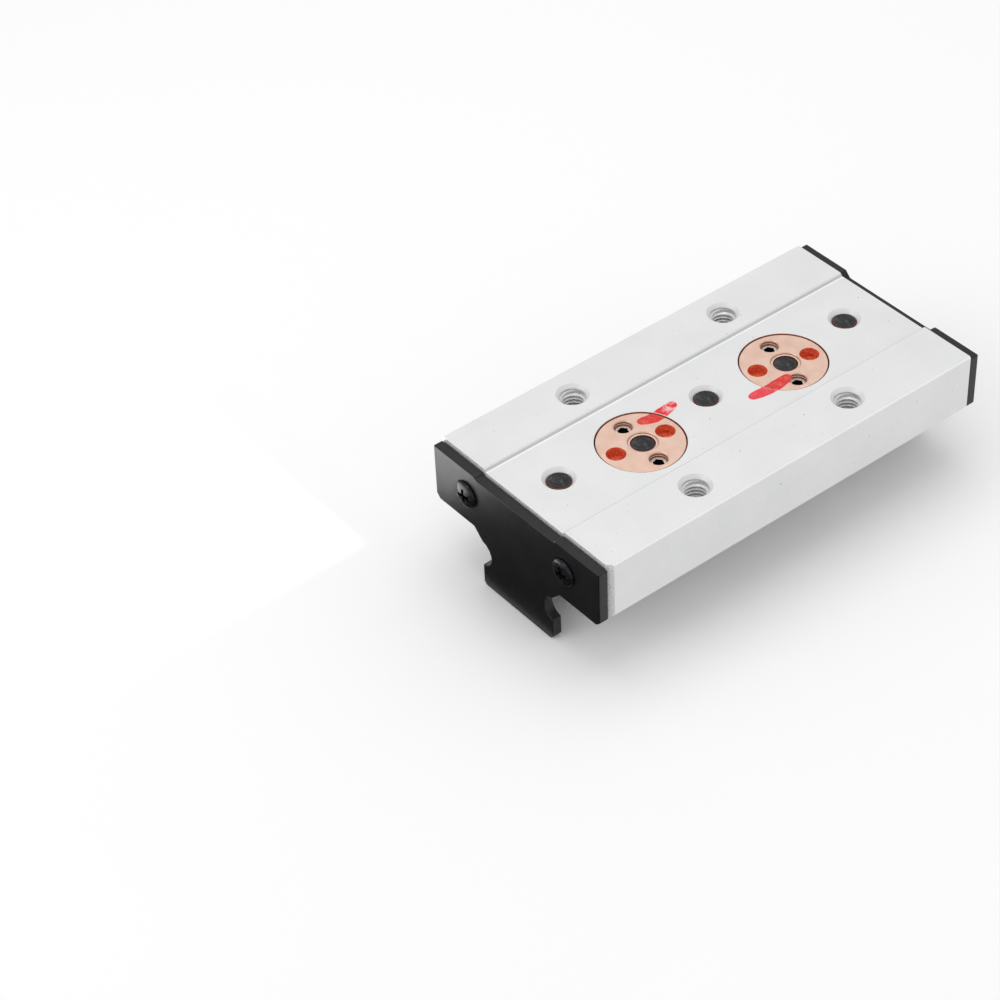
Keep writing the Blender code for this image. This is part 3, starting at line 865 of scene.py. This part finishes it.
def make_plate_screw(node):
    """A black pan head screw with a tapered cross recess."""
    low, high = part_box(node)
    centre = (low + high) / 2
    side = 1 if centre.x > 0 else -1
    outer = high.x if side > 0 else low.x
    seat = SCREW_RECESS_DEPTH
    radius = PAN_HEAD_RADIUS
    length = (high.x - low.x) + seat
    crown = arc((0, 0), 1, 0, pi / 2, 10)
    head = [(radius * u, -PAN_HEAD_CROWN + PAN_HEAD_CROWN * v) for u, v in crown]
    base = -PAN_HEAD_HEIGHT
    profile = [*reversed(head), (radius, base + 0.08 * MM), (radius - 0.08 * MM, base),
               (PLATE_SCREW_RADIUS, base), (PLATE_SCREW_RADIUS, 0.3 * MM - length),
               (PLATE_SCREW_RADIUS - 0.3 * MM, -length), (0, -length)]
    matrix = Matrix.Rotation(side * pi / 2, 4, "Y")
    screw = new_object(node + "_turned", lathe(profile, COARSE, matrix=matrix),
                       location=(outer - side * PLATE_SCREW_SINK, centre.y, centre.z))
    cross = bmesh.new()
    for quarter in range(2):
        turn = Matrix.Rotation(side * pi / 2, 4, "Y") @ Matrix.Rotation(quarter * pi / 2 + 0.12, 4, "Z")
        top = [(x, y, 0.2 * MM) for x, y in
               ((CROSS_ARM, CROSS_HALF_WIDTH), (-CROSS_ARM, CROSS_HALF_WIDTH),
                (-CROSS_ARM, -CROSS_HALF_WIDTH), (CROSS_ARM, -CROSS_HALF_WIDTH))]
        floor = [(0.45 * x, 0.6 * y, -CROSS_DEPTH) for x, y, z in top]
        verts = [cross.verts.new(turn @ Vector(point)) for point in top + floor]
        for ids in ((0, 1, 2, 3), (7, 6, 5, 4), (0, 4, 5, 1), (1, 5, 6, 2), (2, 6, 7, 3), (3, 7, 4, 0)):
            cross.faces.new([verts[k] for k in ids])
        bmesh.ops.recalc_face_normals(cross, faces=cross.faces)
        cut(screw, cross.copy())
        cross.clear()
    smooth(screw, 35)
    dress(screw, (BLACK_HEAD,), "carriage", "black_screw_steel", node)


# ---------------------------------------------------------------- rollers

def replace_turned(node, body, slot, finish, profile, segments=FINE, angle=35):
    """A turned piece on the CAD node's own axis; the profile is (radius, height) from its middle."""
    piece = new_object(node + "_fine", lathe(profile, segments), location=middle(node))
    smooth(piece, angle)
    dress(piece, (finish,), body, slot, node)
    return piece


def rounded_tube(inner, outer, half, edge):
    """A ring's outline with all four edges rounded."""
    return [
        *arc((inner + edge, half - edge), edge, pi, pi / 2, 3),
        *arc((outer - edge, half - edge), edge, pi / 2, 0, 3),
        *arc((outer - edge, edge - half), edge, 0, -pi / 2, 3),
        *arc((inner + edge, edge - half), edge, -pi / 2, -pi, 3),
    ]


def make_outer_ring(node, body):
    low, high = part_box(node)
    half = (high.z - low.z) / 2
    radius = ROLLER_RADIUS
    edge = ROLLER_EDGE
    centre = GROOVE_FLOOR + GROOVE_RADIUS
    lip = asin((GROOVE_RADIUS ** 2 - (centre - radius) ** 2) ** 0.5 / GROOVE_RADIUS)
    groove = arc((centre, 0), GROOVE_RADIUS, pi - lip, pi + lip, 16)
    profile = [(OUTER_RACE, half), (radius - edge, half),
               *arc((radius - edge, half - edge), edge, pi / 2, 0, 3)[1:], *groove,
               *arc((radius - edge, edge - half), edge, 0, -pi / 2, 3), (OUTER_RACE, -half)]
    replace_turned(node, body, "bearing_steel", POLISHED, profile)


def make_roller(number):
    pre = f"roller_{number}"
    still = ECCENTRIC.get(number, "carriage")
    make_outer_ring(pre + "_outer_ring", pre)
    low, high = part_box(pre + "_inner_ring")
    half = (high.z - low.z) / 2
    replace_turned(pre + "_inner_ring", still, "bearing_steel", POLISHED,
                   rounded_tube(RING_BORE_RADIUS, INNER_RACE, half, 0.15 * MM))
    for word, side in (("top", 1), ("bottom", -1)):
        seal = [(3.5 * MM, 0.2 * MM), (4.0 * MM, 0.2 * MM), (4.2 * MM, 0.08 * MM), (4.9 * MM, 0.08 * MM),
                (5.1 * MM, 0.24 * MM), (5.6 * MM, 0.24 * MM), (5.6 * MM, -0.24 * MM),
                (3.5 * MM, -0.24 * MM)]
        profile = [(radius, side * height) for radius, height in seal]
        replace_turned(f"{pre}_{word}_seal", pre, "seal_rubber", RUBBER, profile, COARSE * 2, 25)
    low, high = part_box(pre + "_spacer")
    half = (high.z - low.z) / 2
    replace_turned(pre + "_spacer", still, "spacer_steel", TURNED,
                   rounded_tube(RING_BORE_RADIUS, SPACER_RADIUS, half, 0.2 * MM))
    make_axle_screw(pre + "_axle_screw", still)
    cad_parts[pre + "_ball_cage"].data.materials.clear()
    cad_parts[pre + "_ball_cage"].data.materials.append(BRIGHT)


def make_axle_screw(node, body):
    """A low-head socket screw; only its plain end and its head are ever seen."""
    low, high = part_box(node)
    length = high.z - low.z
    head = AXLE_HEAD_RADIUS
    edge = 0.3 * MM
    neck = AXLE_NECK_RADIUS
    end = 0.12 * MM if body == "carriage" else 0.2 * MM
    shoulder = BODY_LOW.z - low.z - 0.2 * MM
    profile = [(0, length), (neck - end, length), (neck, length - end), (neck, shoulder),
               (AXLE_SHANK_RADIUS, shoulder - 0.1 * MM), (AXLE_SHANK_RADIUS, AXLE_HEAD_HEIGHT),
               (head, AXLE_HEAD_HEIGHT), *arc((head - edge, edge), edge, 0, -pi / 2, 4), (0, 0)]
    place = middle(node)
    screw = new_object(node + "_turned", lathe(profile, FINE), location=(place.x, place.y, low.z))
    cut(screw, prism(hexagon(AXLE_SOCKET, -0.3 * MM), Vector((0, 0, 1.6 * MM))))
    for face in screw.data.polygons:
        face.material_index = 0
        if face.center.z > length - 0.01 * MM:
            face.material_index = 1
        # Painted shade: the end's chamfer is dark brown, for the gap round the axle end.
        elif face.center.z > length - 0.9 * end:
            face.material_index = 2
    smooth(screw, 35, weighted=True)
    dress(screw, (BLACK_OXIDE, BLACK_AXLE, BUSHING_GAP_SHADE), body, "black_screw_steel", node)


# ---------------------------------------------------------------- marker strokes

def stroke_side(points, side, steps=12):
    """Points along one side of a stroke that bends through its knee and is widest there."""
    start, knee, end = points
    control = 2 * knee - (start + end) / 2
    edge = []
    for k in range(steps + 1):
        t = k / steps
        place = start * (1 - t) ** 2 + control * 2 * t * (1 - t) + end * t ** 2
        along = (control - start) * (1 - t) + (end - control) * t
        across = Vector((-along.y, along.x)).normalized()
        spread = 0.86 + 0.32 * sin(pi * t) + 0.05 * sin(9 * t + side) + 0.03 * sin(23 * t)
        edge.append(place + across * side * spread * STROKE_WIDTH / 2)
    return edge


def stroke_outline(points):
    """A round-ended stroke's outline."""
    left = stroke_side(points, 1)
    right = stroke_side(points, -1)
    outline = []
    for side, centre in ((left, points[2]), (list(reversed(right)), points[0])):
        outline += side
        arm = side[-1] - centre
        outline += [centre + Matrix.Rotation(-pi * k / 8, 2) @ arm for k in range(1, 8)]
    return outline


def make_stroke(name, points, bushing, eccentric):
    """One stroke in two pieces, parted where the ink crosses from the bushing to the deck."""
    low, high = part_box(bushing)
    centre = (low + high) / 2
    radius = (high.x - low.x) / 2
    points = [Vector(point) * MM for point in points]
    blot = points[2]
    below = 0.3 * MM
    for part, body, surface in (("bushing", eccentric, high.z), ("deck", "carriage", DECK_Z)):
        outline = [(*(point - blot), -below) for point in stroke_outline(points)]
        ink = new_object(f"{name}_{part}", prism([Vector(point) for point in outline],
                         Vector((0, 0, below + STROKE_THICKNESS))), location=(*blot, surface))
        limit = radius - 0.14 * MM if part == "bushing" else radius + 0.24 * MM
        reach = 3 * MM
        tube = [(0, -reach), (limit, -reach), (limit, reach), (0, reach)]
        place = Matrix.Translation((centre.x - blot.x, centre.y - blot.y, 0))
        cut(ink, lathe(tube, FINE, matrix=place), keep_inside=part == "bushing")
        wide = 30 * MM
        under = [Vector((x, y, -reach)) for x, y in
                 ((-wide, -wide), (wide, -wide), (wide, wide), (-wide, wide))]
        cut(ink, prism(under, Vector((0, 0, reach + 0.001 * MM))))
        dress(ink, (BUSHING_INK if part == "bushing" else DECK_INK[bushing],), body, None)


BUSHING_INK = marker_ink("red_marker", (0.68, 0.035, 0.032), (0.74, 0.13, 0.10))
DECK_INK = {
    "eccentric_bushing_1": marker_ink("patchy_red_marker", (0.76, 0.030, 0.036),
                                      (0.86, 0.48, 0.50), pale_ring=0.2),
    "eccentric_bushing_2": marker_ink("even_red_marker", (0.78, 0.055, 0.075), (0.82, 0.12, 0.14)),
}


# ---------------------------------------------------------------- floor, lights, camera

def make_floor():
    bm = bmesh.new()
    bmesh.ops.create_grid(bm, x_segments=1, y_segments=1, size=3.0)
    floor = new_object("floor", bm, location=(0, 0, cad_box[0].z - 0.02 * MM))
    paper = Finish("pale_floor", (0.96, 0.96, 0.96), 0.8)
    paper.shader.inputs["Specular IOR Level"].default_value = 0.1
    floor.data.materials.append(paper.material)


def make_card(name, low, high, glow):
    """A studio card by the left end plate, which shows only in the gloss of the piece."""
    height = cad_box[0].z + 0.3 * MM
    outline = [Vector((x, y, height)) for x, y in
               ((low[0], low[1]), (high[0], low[1]), (high[0], high[1]), (low[0], high[1]))]
    card = new_object(name, prism(outline, Vector((0, 0, 0.05 * MM))))
    paint = Finish(name, (0.01, 0.01, 0.01), 0.9)
    paint.shader.inputs["Emission Color"].default_value = (1, 1, 1, 1)
    paint.shader.inputs["Emission Strength"].default_value = glow
    card.data.materials.append(paint.material)
    card.visible_camera = False
    card.visible_diffuse = False
    card.visible_shadow = False
    card.visible_transmission = False


def make_cards():
    plate = BODY_LOW.x - 3 * MM
    split_x = plate - 9 * MM
    split_y = 33 * MM
    far_x = plate - 90 * MM
    make_card("dark_card_near", (far_x, -80 * MM), (plate, split_y), 0.0)
    make_card("dark_card_foot", (split_x, split_y), (plate, 90 * MM), 0.0)
    make_card("bright_card", (far_x, split_y), (split_x, 90 * MM), 4.2)


def make_light(name, place, target, size, power, colour=(1, 1, 1)):
    lamp = bpy.data.lights.new(name, "AREA")
    lamp.shape = "RECTANGLE"
    lamp.size, lamp.size_y = size
    lamp.energy = power
    lamp.color = colour
    made = bpy.data.objects.new(name, lamp)
    bpy.context.scene.collection.objects.link(made)
    made.location = place
    made.rotation_euler = (Vector(target) - Vector(place)).to_track_quat("-Z", "Y").to_euler()


def make_lights():
    world = bpy.data.worlds.new("studio")
    world.use_nodes = True
    world.node_tree.nodes["Background"].inputs["Color"].default_value = (1, 1, 1, 1)
    world.node_tree.nodes["Background"].inputs["Strength"].default_value = 0.76
    bpy.context.scene.world = world
    make_light("overhead", (0.05, 0.1, 0.6), (0, 0, 0.02), (0.5, 0.5), 0.95)
    make_light("left", (-0.55, 0.15, 0.35), (0, 0, 0.01), (0.35, 0.35), 0.5)
    make_light("front", (0.1, -0.6, 0.3), (0, 0, 0.01), (0.5, 0.3), 0.15)


def make_camera():
    lens = bpy.data.cameras.new("camera")
    lens.lens = CAMERA_LENS
    lens.sensor_width = 36
    lens.clip_start = 0.01
    lens.clip_end = 20
    camera = bpy.data.objects.new("camera", lens)
    bpy.context.scene.collection.objects.link(camera)
    look = Vector((-sin(CAMERA_AZIMUTH) * cos(CAMERA_ELEVATION),
                   cos(CAMERA_AZIMUTH) * cos(CAMERA_ELEVATION), -sin(CAMERA_ELEVATION)))
    level = look.cross(Vector((0, 0, 1))).normalized()
    upright = level.cross(look)
    right = level * cos(CAMERA_ROLL) + upright * sin(CAMERA_ROLL)
    up = upright * cos(CAMERA_ROLL) - level * sin(CAMERA_ROLL)
    axes = Matrix((right, up, -look)).transposed()
    camera.matrix_world = Matrix.Translation(DECK + CAMERA_OFFSET) @ axes.to_4x4()
    bpy.context.scene.camera = camera
    bpy.context.scene.view_settings.view_transform = "Standard"


# ---------------------------------------------------------------- build

make_body()
for count, (x, y) in enumerate(mount_places(), 1):
    make_thread(f"mount_thread_{count}", x, y)
for side in ("left", "right"):
    screws = [f"plate_screw_{side}_{place}" for place in ("near", "far")]
    make_end_plate(f"end_plate_{side}", screws)
    for screw in screws:
        make_plate_screw(screw)
for pair, (number, eccentric) in enumerate(ECCENTRIC.items()):
    bushing = f"eccentric_bushing_{pair + 1}"
    locks = [f"lock_screw_{2 * pair + 1}", f"lock_screw_{2 * pair + 2}"]
    make_bushing(bushing, eccentric, f"roller_{number}_inner_ring", locks)
    for lock in locks:
        make_lock_screw(lock, eccentric, BUSHING_TURN[bushing])
    make_stroke(f"marker_stroke_{pair + 1}", STROKES[bushing], bushing, eccentric)
for number in range(1, 6):
    make_roller(number)
make_floor()
make_cards()
make_lights()
make_camera()
